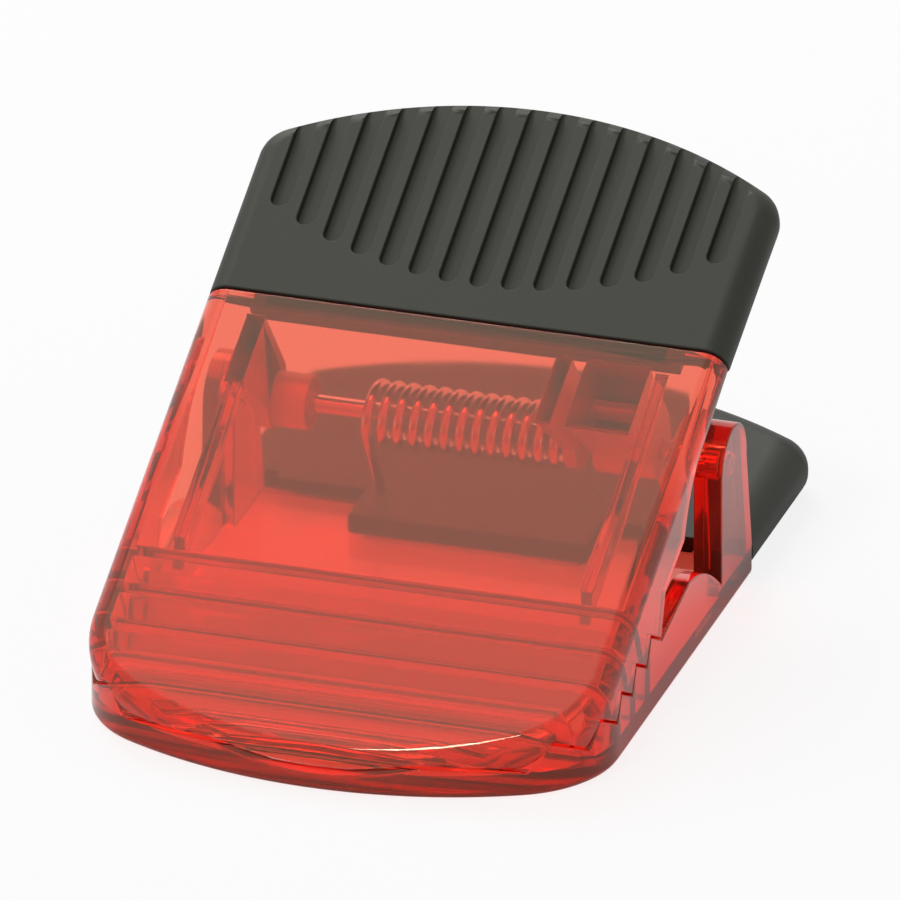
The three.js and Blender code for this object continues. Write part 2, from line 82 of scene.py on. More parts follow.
def node_span(node):
    """Lowest and highest corner of a CAD node at rest, in millimetres."""
    low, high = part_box(node)
    return Vector(low) / MM, Vector(high) / MM


def panel_plane():
    """A point on the upper jaw's flat panel and its tilt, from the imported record."""
    for mount in frame["record"]["mounts"]:
        if mount["name"] == "top_panel":
            return Vector(mount["pos_m"]) / MM, math.asin(-mount["axis"][1])
    raise RuntimeError("The packed record has no top_panel mount")


# Sizes and colours that a user would change

def length(name, description, default):
    return bpy.props.FloatProperty(
        name=name, description=description, default=default * MM, min=0.0,
        unit="LENGTH", precision=5)


def colour(name, description, default):
    return bpy.props.FloatVectorProperty(
        name=name, description=description, default=default, size=3, min=0.0, max=1.0,
        subtype="COLOR")


class ClipSizes(bpy.types.PropertyGroup):
    wall: length("Wall", "Thickness of the plates and walls of both jaws", 2.2)
    rim: length("Rim", "Radius of the upper jaw's rounded rim", 2.6)
    foot_rim: length("Foot rim", "Radius of the lower jaw's bottom edge", 0.9)
    edge: length("Edge", "Radius that breaks the sharp edges of the plastic", 0.18)
    rib: length("Rib", "Thickness of the cross ribs", 1.3)
    ear: length("Ear", "Thickness of the lower jaw's hinge ears", 3.5)
    groove_width: length("Groove width", "Width of the finger grooves", 2.1)
    groove_depth: length("Groove depth", "Depth of the finger grooves", 0.95)
    grip_rim: length("Grip rim", "Radius of the grip's outer edge", 2.6)
    pillow: length("Pillow", "How far the grip's inner side is rounded in", 4.0)
    wire: length("Wire", "Diameter of the spring's wire", 1.2)
    coil: length("Coil", "Mean radius of the spring's coil", 3.1)


class ClipColours(bpy.types.PropertyGroup):
    plastic: colour("Plastic", "Tint of the clear plastic", (0.95, 0.40, 0.28))
    depth: colour("Depth", "Colour left after a long way through the plastic", (0.965, 0.13, 0.0))
    rubber: colour("Rubber", "Colour of the grips", (0.026, 0.027, 0.022))
    steel: colour("Steel", "Colour of the pin and the wire", (0.78, 0.78, 0.79))
    ferrite: colour("Ferrite", "Colour of the magnet", (0.055, 0.055, 0.06))
    floor: colour("Floor", "Colour of the surface that the clip lies on", (0.88, 0.88, 0.88))


def size(name):
    """A size of the clip in millimetres."""
    return getattr(bpy.context.scene.clip_sizes, name) / MM


def tint(name):
    return tuple(getattr(bpy.context.scene.clip_colours, name)) + (1.0,)


# The clip's plan, worked out from the frame

class Plan:
    """Places that several pieces share, in millimetres."""

    def __init__(self):
        pin_low, pin_high = node_span("hinge_pin")
        lower_low, lower_high = node_span("lower_jaw")
        self.panel, self.tilt = panel_plane()
        self.half = lower_high.x
        self.nose_y = lower_low.y
        self.hinge = Vector((0, (pin_low.y + pin_high.y) / 2, (pin_low.z + pin_high.z) / 2))
        self.pin_radius = (pin_high.z - pin_low.z) / 2
        self.pin_half = pin_high.x
        self.magnet = node_span("magnet")[1]
        # Where the grips start, behind the pin and ahead of it
        self.lower_edge = self.hinge.y + 6.8
        self.upper_edge = self.hinge.y - 3.7
        # Air between pieces that fit together
        self.gap = 0.3
        # Radii of the nose and its corners, and how far the panel reaches over the lower nose
        self.nose_arc = 52.0
        self.nose_corner = 13.0
        self.overhang = 0.67
        self.lower_length = self.lower_edge - self.nose_y
        self.upper_length = (
            (self.upper_edge - self.nose_y + self.overhang) / math.cos(self.tilt))
        self.ear_inside = self.half - size("ear")
        self.ear_radius = 4.7
        # Teeth, from the throat to the nose
        self.teeth = 6
        self.pitch = 5.45
        self.flank = 4.0
        self.rise = 2.1
        self.last_rise = 0.6
        self.throat_z = 7.55
        self.nose_z = 2.1
        self.throat_y = self.nose_y + self.teeth * self.pitch
        # Left lug, right lug and the plate that stops the spring: start, width, and how much of
        # the width is only a boss that reaches along the pin toward the spring
        left_air, right_air, stop_air = 1.9, 4.7, 1.9
        left_lug, right_lug, stop = 6.0, 7.1, 1.6
        right = self.ear_inside - right_air - right_lug
        self.lugs = [
            (-self.ear_inside + left_air, left_lug, 4.0),
            (right, right_lug, 0),
            (right - stop_air - stop, stop, 0),
        ]
        self.barrel = 3.4
        self.lug_root = 9
        # Skirts at the panel's rear, and the long webs under it
        self.skirt = 3.1
        self.web_x = self.half - 6.6
        self.web_depth = 6
        # The spring's coil, from the left lug to the stop
        self.coil_start = 7.0
        self.coil_lead = 1.79
        # Grips
        self.lip = 1.5
        self.lip_half = self.half - 5.2
        self.grip_side = 20.4
        self.grip_arc = 56.0
        self.grip_corner = 4.5
        self.grip_root = 4.2
        self.grip_tip = 7.5
        # Finger grooves: their front ends lie on an arc, a setback behind the grip's edge
        self.groove_count = 15
        self.groove_pitch = 3.6
        self.groove_setback = 4.9
        self.groove_arc = 45.6
        self.groove_lip = 0.15
        # Window for the magnet, and the apron of the lower grip over it
        self.window = self.magnet.xy + Vector((self.gap, self.gap))
        self.apron_wall = 1.5
        self.apron_top = self.magnet.z + self.gap + self.apron_wall
        # Rounded edges
        self.groove_round = 0.35
        self.apron_round = 0.4
        self.steel_round = 0.25
        self.magnet_round = 0.25
        self.wire_round = 0.12

    def panel_z(self, y):
        """Height of the upper panel's top face at a given y."""
        return self.panel.z + (y - self.panel.y) * math.tan(self.tilt)

    def under(self, y, depth):
        """A (y, z) point at a depth below the upper panel's top face."""
        return (y, self.panel_z(y) - depth)

    def upper_frame(self):
        """From the upper panel's own frame, rear edge at y 0 and top face at z 0."""
        rear = Matrix.Translation((0, self.upper_edge, self.panel_z(self.upper_edge)))
        return rear @ Matrix.Rotation(self.tilt, 4, "X")

    def lower_frame(self):
        """From the lower jaw's own frame, rear edge at y 0 and underside at z 0."""
        return Matrix.Translation((0, self.lower_edge, 0))

    def valley_z(self, y):
        """Height of the line on which the valleys between the teeth lie."""
        slope = (self.throat_z - self.nose_z) / (self.teeth * self.pitch)
        return self.throat_z - (self.throat_y - y) * slope

    def mouth(self, gap=0.0):
        """Points of the toothed edge from throat to nose, moved off both flanks by a gap."""
        flank = Vector((self.flank, self.rise)).normalized()
        shift = Vector((-gap * (flank.x - flank.y), gap * (flank.x + flank.y)))
        points = []
        for tooth in range(self.teeth):
            y = self.throat_y - tooth * self.pitch
            rise = self.last_rise if tooth == self.teeth - 1 else self.rise
            points.append(Vector((y, self.valley_z(y))) + shift)
            points.append(Vector((y - self.flank, self.valley_z(y) + rise)) + shift)
        points.append(Vector((self.nose_y, self.nose_z)) + shift)
        return points


# Modelling

class Pen:
    """Draws an outline with lines and arcs and fills it."""

    def __init__(self, start, axis):
        self.bm = bmesh.new()
        self.axis = axis
        self.tip = self.bm.verts.new(start)

    def line(self, *points):
        for point in points:
            grown = bmesh.ops.extrude_vert_indiv(self.bm, verts=[self.tip])
            self.tip = grown["verts"][0]
            self.tip.co = Vector(point)
        return self

    def arc(self, centre, angle, steps):
        turned = bmesh.ops.spin(
            self.bm, geom=[self.tip], cent=Vector(centre), axis=self.axis, angle=angle,
            steps=steps, use_merge=False, use_duplicate=False)
        self.tip = verts_of(turned["geom_last"])[0]
        return self

    def fill(self):
        bmesh.ops.remove_doubles(self.bm, verts=self.bm.verts[:], dist=TOUCH)
        open_ends = [v for v in self.bm.verts if len(v.link_edges) == 1]
        if open_ends:
            bmesh.ops.contextual_create(self.bm, geom=open_ends)
        bmesh.ops.contextual_create(self.bm, geom=self.bm.edges[:])
        return self.bm


def thicken(bm, way):
    """Turns the filled outline in bm into a solid by drawing it along a vector."""
    grown = bmesh.ops.extrude_face_region(bm, geom=bm.faces[:])
    bmesh.ops.translate(bm, verts=verts_of(grown["geom"]), vec=way)
    bmesh.ops.recalc_face_normals(bm, faces=bm.faces[:])
    return bm


def bevel(bm, edges, radius, segments):
    """Rounds edges, and lets roundings meet where they are close."""
    bmesh.ops.bevel(
        bm, geom=edges, offset=radius, offset_type="OFFSET", segments=segments, profile=0.5,
        affect="EDGES", clamp_overlap=False, material=-1, loop_slide=True)


def place(bm, matrix):
    bmesh.ops.transform(bm, matrix=matrix, verts=bm.verts[:])
    return bm


def gather(parts):
    """Puts separate closed parts into one bmesh."""
    together = bmesh.new()
    for part in parts:
        holder = bpy.data.meshes.new("part")
        part.to_mesh(holder)
        part.free()
        together.from_mesh(holder)
        bpy.data.meshes.remove(holder)
    return together


def verts_of(geometry):
    return [g for g in geometry if isinstance(g, bmesh.types.BMVert)]


def block(low, high):
    """A box between two corners."""
    bm = bmesh.new()
    low = Vector(low)
    high = Vector(high)
    bmesh.ops.create_cube(bm, size=1.0)
    bmesh.ops.scale(bm, vec=high - low, verts=bm.verts[:])
    bmesh.ops.translate(bm, vec=(low + high) / 2, verts=bm.verts[:])
    return bm


def bar(radius, start, end, segments=48):
    """A round bar between two points."""
    bm = bmesh.new()
    start = Vector(start)
    way = Vector(end) - start
    bmesh.ops.create_cone(
        bm, cap_ends=True, segments=segments, radius1=radius, radius2=radius,
        depth=way.length)
    turn = way.to_track_quat("Z", "Y").to_matrix().to_4x4()
    return place(bm, Matrix.Translation(start + way / 2) @ turn)


def slab(points, x0, x1):
    """A plate between two x positions whose outline is a list of (y, z) points."""
    pen = Pen((x0, *points[0]), ALONG_X)
    pen.line(*[(x0, *point) for point in points[1:]])
    return thicken(pen.fill(), Vector((x1 - x0, 0, 0)))


class Form:
    """A closed body in the making, in millimetres."""

    def __init__(self, bm):
        self.mesh = bpy.data.meshes.new("form")
        bm.to_mesh(self.mesh)
        bm.free()

    def worked(self, kind, settings):
        """Applies a modifier of a kind with its settings."""
        holder = bpy.data.objects.new("form", self.mesh)
        bpy.context.scene.collection.objects.link(holder)
        modifier = holder.modifiers.new("work", kind)
        for name, value in settings.items():
            setattr(modifier, name, value)
        graph = bpy.context.evaluated_depsgraph_get()
        mesh = bpy.data.meshes.new_from_object(holder.evaluated_get(graph))
        bpy.data.objects.remove(holder)
        bpy.data.meshes.remove(self.mesh)
        self.mesh = mesh
        return self

    def combine(self, bm, how):
        """Adds, cuts or keeps what bm fills, and merges the points that fall together."""
        tool = bpy.data.objects.new("tool", bpy.data.meshes.new("tool"))
        bm.to_mesh(tool.data)
        bm.free()
        bpy.context.scene.collection.objects.link(tool)
        self.worked("BOOLEAN", {"object": tool, "operation": how, "solver": "MANIFOLD"})
        mesh = tool.data
        bpy.data.objects.remove(tool)
        bpy.data.meshes.remove(mesh)
        clean = self.as_bmesh()
        bmesh.ops.remove_doubles(clean, verts=clean.verts[:], dist=0.0005)
        clean.to_mesh(self.mesh)
        clean.free()
        return self

    def add(self, bm):
        return self.combine(bm, "UNION")

    def cut(self, bm):
        return self.combine(bm, "DIFFERENCE")

    def keep(self, bm):
        return self.combine(bm, "INTERSECT")

    def as_bmesh(self):
        bm = bmesh.new()
        bm.from_mesh(self.mesh)
        return bm

    def break_edges(self, radius, segments=2, sharp=32.0, speck=0.004):
        """Rounds every edge that turns more than sharp degrees, once the specks are merged."""
        bm = self.as_bmesh()
        bmesh.ops.remove_doubles(bm, verts=bm.verts[:], dist=speck)
        bmesh.ops.dissolve_degenerate(bm, edges=bm.edges[:], dist=speck)
        bmesh.ops.dissolve_limit(
            bm, angle_limit=math.radians(0.3), use_dissolve_boundaries=False,
            verts=bm.verts[:], edges=bm.edges[:])
        edges = [
            e for e in bm.edges
            if len(e.link_faces) == 2 and e.calc_face_angle(0) > math.radians(sharp)]
        bevel(bm, edges, radius, segments)
        bm.to_mesh(self.mesh)
        bm.free()
        return self

    def close_seams(self):
        """Fills the slivers that rounding leaves open, and drops stray faces and edges."""
        bm = self.as_bmesh()
        bmesh.ops.holes_fill(bm, edges=[e for e in bm.edges if e.is_boundary], sides=0)
        bmesh.ops.triangle_fill(
            bm, use_beauty=False, use_dissolve=False,
            edges=[e for e in bm.edges if e.is_boundary])
        stray = [f for f in bm.faces if all(e.is_boundary for e in f.edges)]
        bmesh.ops.delete(bm, geom=stray, context="FACES")
        bmesh.ops.delete(bm, geom=[e for e in bm.edges if not e.link_faces], context="EDGES")
        bm.to_mesh(self.mesh)
        bm.free()

    def paint(self, boxes):
        """Gives the faces whose centres lie in one of the boxes the second material."""
        for face in self.mesh.polygons:
            face.material_index = int(any(
                all(a <= c <= b for a, c, b in zip(low, face.center, high))
                for low, high in boxes))
        return self

    def finish(self, name, body, node, slot, *materials):
        """Makes the form a piece of the clip that rides on a body and stands for a node."""
        self.close_seams()
        for face in self.mesh.polygons:
            face.use_smooth = True
        self.mesh.set_sharp_from_angle(angle=math.radians(48))
        self.worked("WEIGHTED_NORMAL", {"mode": "FACE_AREA", "weight": 50, "keep_sharp": True})
        self.mesh.transform(Matrix.Scale(MM, 4))
        piece = bpy.data.objects.new(name, self.mesh)
        self.mesh.name = name
        bpy.context.scene.collection.objects.link(piece)
        faces = [face.material_index for face in self.mesh.polygons]
        self.mesh.materials.clear()
        for material in materials:
            self.mesh.materials.append(material)
        self.mesh.polygons.foreach_set("material_index", faces)
        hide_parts(node)
        if body:
            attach(piece, body)
        return piece


# Shader maths

class Value:
    """A socket that takes part in Python expressions."""

    def __init__(self, owner, socket):
        self.owner = owner
        self.socket = socket

    def maths(self, how, *terms, clamp=False):
        return self.owner.node(
            "ShaderNodeMath", {"operation": how, "use_clamp": clamp}, dict(enumerate(terms)))

    def __add__(self, other):
        return self.maths("ADD", self, other)

    def __radd__(self, other):
        return self.maths("ADD", other, self)

    def __sub__(self, other):
        return self.maths("SUBTRACT", self, other)

    def __rsub__(self, other):
        return self.maths("SUBTRACT", other, self)

    def __mul__(self, other):
        return self.maths("MULTIPLY", self, other)

    def __rmul__(self, other):
        return self.maths("MULTIPLY", other, self)

    def clamped(self):
        return self.maths("ADD", self, 0.0, clamp=True)

    def or_higher(self, other):
        return self.maths("MAXIMUM", self, other)


class Nodes:
    """The node tree of a material or a world, with one way to add any node."""

    def __init__(self, owner):
        owner.use_nodes = True
        self.tree = owner.node_tree

    def feed(self, socket, term):
        if isinstance(term, Value):
            self.tree.links.new(term.socket, socket)
        else:
            socket.default_value = term

    def node(self, kind, settings=None, inputs=None, output=0):
        node = self.tree.nodes.new(kind)
        for name, setting in (settings or {}).items():
            setattr(node, name, setting)
        for name, term in (inputs or {}).items():
            self.feed(node.inputs[name], term)
        return Value(self, node.outputs[output])

    def ray(self, kind):
        """1 for rays of a kind, such as Camera or Glossy, and 0 for all others."""
        return self.node("ShaderNodeLightPath", output=f"Is {kind} Ray")

    def either(self, share, first, second):
        """One shader where the share is 0, and the other where it is 1."""
        return self.node("ShaderNodeMixShader", None, {0: share, 1: first, 2: second})


class Shade(Nodes):
    """A material round its main shader."""

    def __init__(self, name):
        self.material = bpy.data.materials.new(name)
        super().__init__(self.material)
        self.surface = self.tree.nodes["Principled BSDF"]
        self.face = Value(self, self.surface.outputs[0])
        self.output = self.tree.nodes["Material Output"]

    def where(self, stretch):
        """Object coordinates in millimetres, stretched along each axis."""
        spot = self.node("ShaderNodeTexCoord", output="Object")
        scale = tuple(s / MM for s in stretch)
        return self.node("ShaderNodeMapping", None, {"Vector": spot, "Scale": scale})

    def noise(self, scale, detail=2.0, stretch=(1.0, 1.0, 1.0)):
        """Noise from 0 to 1 whose features are about 1 / scale millimetres wide."""
        return self.node(
            "ShaderNodeTexNoise", None,
            {"Vector": self.where(stretch), "Scale": scale, "Detail": detail})

    def mix(self, share, first, second):
        """A colour between two others, by the numbers of the sockets that mix colours."""
        factor, colour_a, colour_b, result = 0, 6, 7, 2
        return self.node(
            "ShaderNodeMix", {"data_type": "RGBA"},
            {factor: share, colour_a: first, colour_b: second}, output=result)

    def bump(self, height, distance, strength=1.0):
        return self.node(
            "ShaderNodeBump", None,
            {"Height": height, "Distance": distance * MM, "Strength": strength}, "Normal")

    def set(self, **inputs):
        """Feeds sockets of the main shader, named with underscores."""
        for name, term in inputs.items():
            self.feed(self.surface.inputs[name.replace("_", " ")], term)
        return self


def shaded(rgba, factor):
    """A colour made darker or lighter."""
    return tuple(c * factor for c in rgba[:3]) + (1.0,)


def clear_plastic(name, clear, frost):
    """Clear red plastic: tinted at its faces, deeper where the light goes a long way.

    The polished faces are clear, and the hinge lugs are moulded duller.
    """
    shade = Shade(name)
    # The duller faces scatter more light, and that light is redder
    base = tuple(c ** (1.6 - 0.6 * clear) for c in tint("plastic"))
    waves = shade.noise(0.05, 1.0)
    smears = shade.noise(0.35, 4.0, (1.0, 0.35, 1.0))
    specks = (shade.noise(2.6, 2.0) - 0.66).clamped()
    shade.set(
        Base_Color=shade.mix(specks * 0.6, base, shaded(base, 0.86)),
        Roughness=frost + smears * 0.05 + specks * 0.3,
        IOR=1.49,
        Transmission_Weight=clear,
        Specular_IOR_Level=0.5,
        Specular_Tint=(1.0, 0.92, 0.66, 1.0),
        Normal=shade.bump(waves + specks * 0.02, 0.35, 0.35),
    )
    # Light passes straight through where it would cast a shadow, a little tinted
    through = shade.node(
        "ShaderNodeBsdfTransparent", None, {"Color": (0.92, 0.81, 0.79, 1.0)})
    shade.feed(shade.output.inputs["Surface"],
               shade.either(shade.ray("Shadow"), shade.face, through))
    inside = shade.node(
        "ShaderNodeVolumeAbsorption", None, {"Color": tint("depth"), "Density": 520.0})
    shade.feed(shade.output.inputs["Volume"], inside)
    return shade.material


def soft_rubber():
    """Matte moulded rubber with a fine grain, faint flow marks and a little dust."""
    shade = Shade("black_rubber")
    base = tint("rubber")
    grain = shade.noise(7.0, 3.0)
    flow = shade.noise(0.12, 2.0, (1.0, 0.4, 1.0))
    dust = (shade.noise(1.3, 5.0) - 0.60).clamped()
    shade.set(
        Base_Color=shade.mix(flow * 0.5 + dust, base, shaded(base, 1.5)),
        Roughness=0.46 + grain * 0.1 + dust * 0.3,
        Specular_IOR_Level=0.22,
        Specular_Tint=(1.0, 1.0, 0.86, 1.0),
        Normal=shade.bump(grain, 0.02, 0.5),
    )
    return shade.material


def bright_steel(name, stretch):
    """Drawn steel with lines along its length."""
    shade = Shade(name)
    base = tint("steel")
    lines = shade.noise(3.0, 3.0, stretch)
    stain = shade.noise(0.5, 3.0)
    shade.set(
        Base_Color=shade.mix(stain, base, shaded(base, 0.8)),
        Metallic=1.0,
        Roughness=0.1 + lines * 0.12,
        Normal=shade.bump(lines, 0.01, 0.4),
    )
    return shade.material


def sintered_ferrite():
    """Dark sintered magnet with a sandy grain and small pits."""
    shade = Shade("ferrite")
    base = tint("ferrite")
    grain = shade.noise(4.0, 4.0)
    pits = (shade.noise(1.6, 2.0) - 0.62).clamped() * 3.0
    shade.set(
        Base_Color=shade.mix(grain, shaded(base, 0.7), shaded(base, 1.4)),
        Metallic=0.25,
        Roughness=0.5 + grain * 0.2,
        Normal=shade.bump(grain - pits, 0.05, 0.5),
    )
    return shade.material


def pale_floor():
    """A pale floor that is seen as nearly white, with a faint shadow left on it."""
    shade = Shade("pale_floor")
    shade.set(Base_Color=tint("floor"), Roughness=0.9, Specular_IOR_Level=0.1)
    clean = shade.node("ShaderNodeEmission", None, {"Color": WHITE, "Strength": 1.0})
    share = (shade.ray("Camera") * 0.85 + shade.ray("Transmission") * 0.25
             + shade.ray("Glossy") * 0.25)
    shade.feed(shade.output.inputs["Surface"], shade.either(share, shade.face, clean))
    return shade.material


# Jaws

def jaw_outline(plan, total, inset, z, rear=0.0):
    """A jaw seen from above, straight rear edge, rounded nose toward -y."""
    corner_x = plan.half - plan.nose_corner
    span = plan.nose_arc - plan.nose_corner
    arc_y = plan.nose_arc - total
    corner_y = arc_y - math.sqrt(span ** 2 - corner_x ** 2)
    meet = math.atan2(arc_y - corner_y, corner_x)
    side = plan.half - inset
    pen = Pen((-side, rear, z), UP)
    pen.line((-side, corner_y, z))
    pen.arc((-corner_x, corner_y, z), meet, 20)
    pen.arc((0, arc_y, z), math.pi - 2 * meet, 40)
    pen.arc((corner_x, corner_y, z), meet, 20)
    pen.line((side, rear, z))
    return pen.fill()


def rim_edges(bm, z):
    """Edges of the face at a height, except the straight one at the rear."""
    return [
        e for e in bm.edges
        if all(abs(v.co.z - z) < TOUCH for v in e.verts)
        and not all(abs(v.co.y) < TOUCH for v in e.verts)]


def tab(plan, gap):
    """The flat tab that carries a grip, stepping down under its grooves.

    A gap of 0 gives the tab itself, and a wider one the room for it in the grip.
    """
    top = -1.0
    skin = 0.55
    low = -size("groove_depth") - skin - plan.gap
    root = -1 - 2 * gap
    step = 3.3
    thick = 1.2
    end = 17 + gap
    half = plan.half - 7 + gap
    return slab([
        (root, top + gap),
        (step - 2 * thick, top + gap),
        (step, low + gap),
        (end, low + gap),
        (end, low - thick - gap),
        (step - thick, low - thick - gap),
        (step - 3 * thick, top - thick - gap),
        (-gap, top - thick - gap),
        (root, top - thick / 2 - gap),
    ], -half, half)


def ear_top(plan, steps=24, below=0.1):
    """Rounded top of an ear as (y, z) points, from a little below its rear to its front."""
    points = []
    for i in range(steps + 1):
        angle = -below + (math.pi + below) * i / steps
        points.append((plan.hinge.y + plan.ear_radius * math.cos(angle),
                       plan.hinge.z + plan.ear_radius * math.sin(angle)))
    return points


def curve_points(start, control, end, steps):
    """Points of a bend from start to end that leans toward control."""
    start, control, end = Vector(start), Vector(control), Vector(end)
    points = []
    for i in range(steps + 1):
        t = i / steps
        points.append(start * (1 - t) ** 2 + control * 2 * t * (1 - t) + end * t ** 2)
    return points


def lower_jaw_form(plan):
    """The lower jaw: tray with toothed walls, ears, cross ribs, window, tab and bores."""
    wall = size("wall")
    rib = size("rib")
    half = plan.half
    high = plan.hinge.z + 12
    shell = thicken(jaw_outline(plan, plan.lower_length, 0, 0), UP * high)
    bevel(shell, rim_edges(shell, 0), size("foot_rim"), 4)
    form = Form(place(shell, plan.lower_frame()))
    # Behind the teeth the side walls keep a hump, and fall in a bend to the ears' feet
    foot_y, foot_z = plan.hinge.y - plan.ear_radius, 4.2
    hump_y, hump_z = plan.throat_y + 10.2, 9.9
    lean = ((foot_y + hump_y) / 2, 9.5)
    front = plan.nose_y - PAST
    side = [(plan.lower_edge, -PAST), (plan.lower_edge, foot_z)]
    side += ear_top(plan) + curve_points((foot_y, foot_z), lean, (hump_y, hump_z), 14)
    side += plan.mouth() + [(front, plan.nose_z), (front, -PAST)]
    form.keep(slab(side, -half - PAST, half + PAST))
    # The ears stay thicker than the walls, on the inside
    hollow = Form(place(
        thicken(jaw_outline(plan, plan.lower_length, wall, wall, PAST), UP * (high + 5)),
        plan.lower_frame()))
    ear_front = foot_y + 0.6
    for x0, x1 in ((-half - PAST, -plan.ear_inside), (plan.ear_inside, half + PAST)):
        hollow.cut(block((x0, ear_front, -PAST), (x1, plan.lower_edge + 3, high + 9)))
    form.cut(hollow.as_bmesh())

    # Cross ribs with the height of the teeth, rooted in the floor and in the side walls
    rear, sunk = plan.throat_y + plan.pitch, wall / 2
    rooted = wall * 0.6
    low_mouth = [(rear, sunk), (rear, plan.throat_z)]
    low_mouth += plan.mouth() + [(front, plan.nose_z), (front, sunk)]
    ribs = Form(slab(low_mouth, -half + rooted, half - rooted))
    ribs.keep(place(thicken(jaw_outline(plan, plan.lower_length, rooted, 0), UP * high),
                    plan.lower_frame()))
    crests = [plan.throat_y - tooth * plan.pitch - plan.flank
              for tooth in range(plan.teeth - 1)]
    ribs.keep(gather(block((-half, crest - 0.4 * rib, 0.5), (half, crest + rib, high))
                     for crest in crests))
    form.add(ribs.as_bmesh())

    # Window for the magnet, tab for the grip, and bores for the pin
    form.cut(block((*-plan.window, -PAST), (*plan.window, wall + PAST)))
    form.add(place(tab(plan, 0), plan.lower_frame() @ Matrix.Rotation(math.pi, 4, "Y")))
    bored = half - 1.2
    form.cut(bar(plan.pin_radius + plan.gap, plan.hinge - ALONG_X * bored,
                 plan.hinge + ALONG_X * bored))
    return form


def upper_side(plan, top):
    """Side view of all that the skirts and the teeth may fill."""
    # The skirt's lower edge: places behind the throat, and depths under the panel
    skirt = [(14, 3.7), (10.5, 4.2), (8.4, 8.7), (1.5, 8.2)]
    bend = [plan.under(plan.throat_y + behind, depth) for behind, depth in skirt]
    rear = plan.under(plan.upper_edge + plan.lip, plan.skirt)
    front = plan.nose_y - FAR
    points = [rear, *curve_points(*bend[:3], 14), bend[3], *plan.mouth(plan.gap)]
    points += [(front, plan.nose_z + plan.gap), (front, top)]
    points += [(rear[0] + FAR, top), (rear[0] + FAR, rear[1])]
    return points


def lug_side(plan):
    """Side view of a lug: a root under the panel that narrows to a barrel round the pin."""
    root = plan.upper_edge - plan.lip - plan.gap
    sink = size("wall") / 2
    points = [plan.under(root, sink), plan.under(root - plan.lug_root, sink)]
    steps = 20
    for i in range(steps + 1):
        angle = math.pi + math.pi * i / steps
        points.append((plan.hinge.y + plan.barrel * math.cos(angle),
                       plan.hinge.z + plan.barrel * math.sin(angle)))
    points.append((plan.hinge.y + plan.barrel * 0.8, plan.hinge.z + plan.barrel * 0.9))
    return points


def upper_jaw_form(plan):
    """The upper jaw: tilted panel, toothed skirts, cross ribs, webs, lugs, bores and tab."""
    wall = size("wall")
    rib = size("rib")
    half = plan.half
    to_world = plan.upper_frame()
    deep = plan.panel_z(plan.upper_edge)
    shell = thicken(jaw_outline(plan, plan.upper_length, 0, 0), -UP * deep)
    bevel(shell, rim_edges(shell, 0), size("rim"), 8)
    form = Form(place(shell, to_world))
    hollow = thicken(jaw_outline(plan, plan.upper_length, wall, -wall, PAST), -UP * (deep + 5))
    form.cut(place(hollow, to_world))
    form.keep(slab(upper_side(plan, deep + 2 * FAR), -half - PAST, half + PAST))

    # Cross ribs that hang into the valleys of the teeth
    front, rear, high = plan.nose_y - FAR, plan.throat_y + plan.pitch, 3 * FAR
    rooted = wall * 0.6
    over = plan.mouth(plan.gap)
    over += [(front, plan.nose_z + plan.gap), (front, high), (rear, high), (rear, plan.throat_z)]
    ribs = Form(slab(over, -half + rooted, half - rooted))
    ribs.keep(place(thicken(jaw_outline(plan, plan.upper_length, rooted, -wall / 2),
                            -UP * deep), to_world))
    plates = []
    for tooth in range(1, plan.teeth):
        y = plan.throat_y - tooth * plan.pitch
        height = plan.panel_z(y) - plan.valley_z(y)
        along = (y - plan.upper_edge) / math.cos(plan.tilt) - height * math.sin(plan.tilt)
        plate = block((-half, along - rib / 2, -deep), (half, along + rib / 2, 0))
        plates.append(place(plate, to_world))
    ribs.keep(gather(plates))
    form.add(ribs.as_bmesh())

    # Long webs from the lugs to the teeth
    ahead = plan.throat_y - plan.pitch - 1
    behind = plan.upper_edge - plan.lip - plan.gap
    web = [plan.under(behind, wall / 2), plan.under(ahead, wall / 2),
           plan.under(ahead, plan.web_depth), plan.under(rear, plan.web_depth),
           plan.under(behind, wall + 1)]
    for x in (-plan.web_x, plan.web_x):
        form.add(slab(web, x - rib / 2, x + rib / 2))

    # Lugs with their bores, and the tab for the grip
    for x, width, boss in plan.lugs:
        form.add(slab(lug_side(plan), x, x + width - boss))
        if boss:
            form.add(bar(plan.barrel - 0.3, plan.hinge + ALONG_X * (x + width - boss - 1),
                         plan.hinge + ALONG_X * (x + width)))
    form.cut(bar(plan.pin_radius + plan.gap, plan.hinge - ALONG_X * plan.ear_inside,
                 plan.hinge + ALONG_X * plan.ear_inside))
    form.add(place(tab(plan, 0), to_world))
    return form


# Grips

def grip_length(plan):
    """From a grip's straight edge to the middle of its round end."""
    span = plan.grip_arc - plan.grip_corner
    corner_x = plan.half - plan.grip_corner
    return plan.grip_side - math.sqrt(span ** 2 - corner_x ** 2) + plan.grip_arc


def grip_outline(plan, z):
    """A grip seen from above, its straight front edge at y 0 and its round end toward +y."""
    total = grip_length(plan)
    arc_y = total - plan.grip_arc
    corner_x = plan.half - plan.grip_corner
    corner_y = plan.grip_side
    meet = math.atan2(corner_y - arc_y, corner_x)
    pen = Pen((plan.half, 0, z), UP)
    pen.line((plan.half, corner_y, z))
    pen.arc((corner_x, corner_y, z), meet, 14)
    pen.arc((0, arc_y, z), math.pi - 2 * meet, 48)
    pen.arc((-corner_x, corner_y, z), meet, 14)
    pen.line((-plan.half, 0, z))
    return pen.fill()


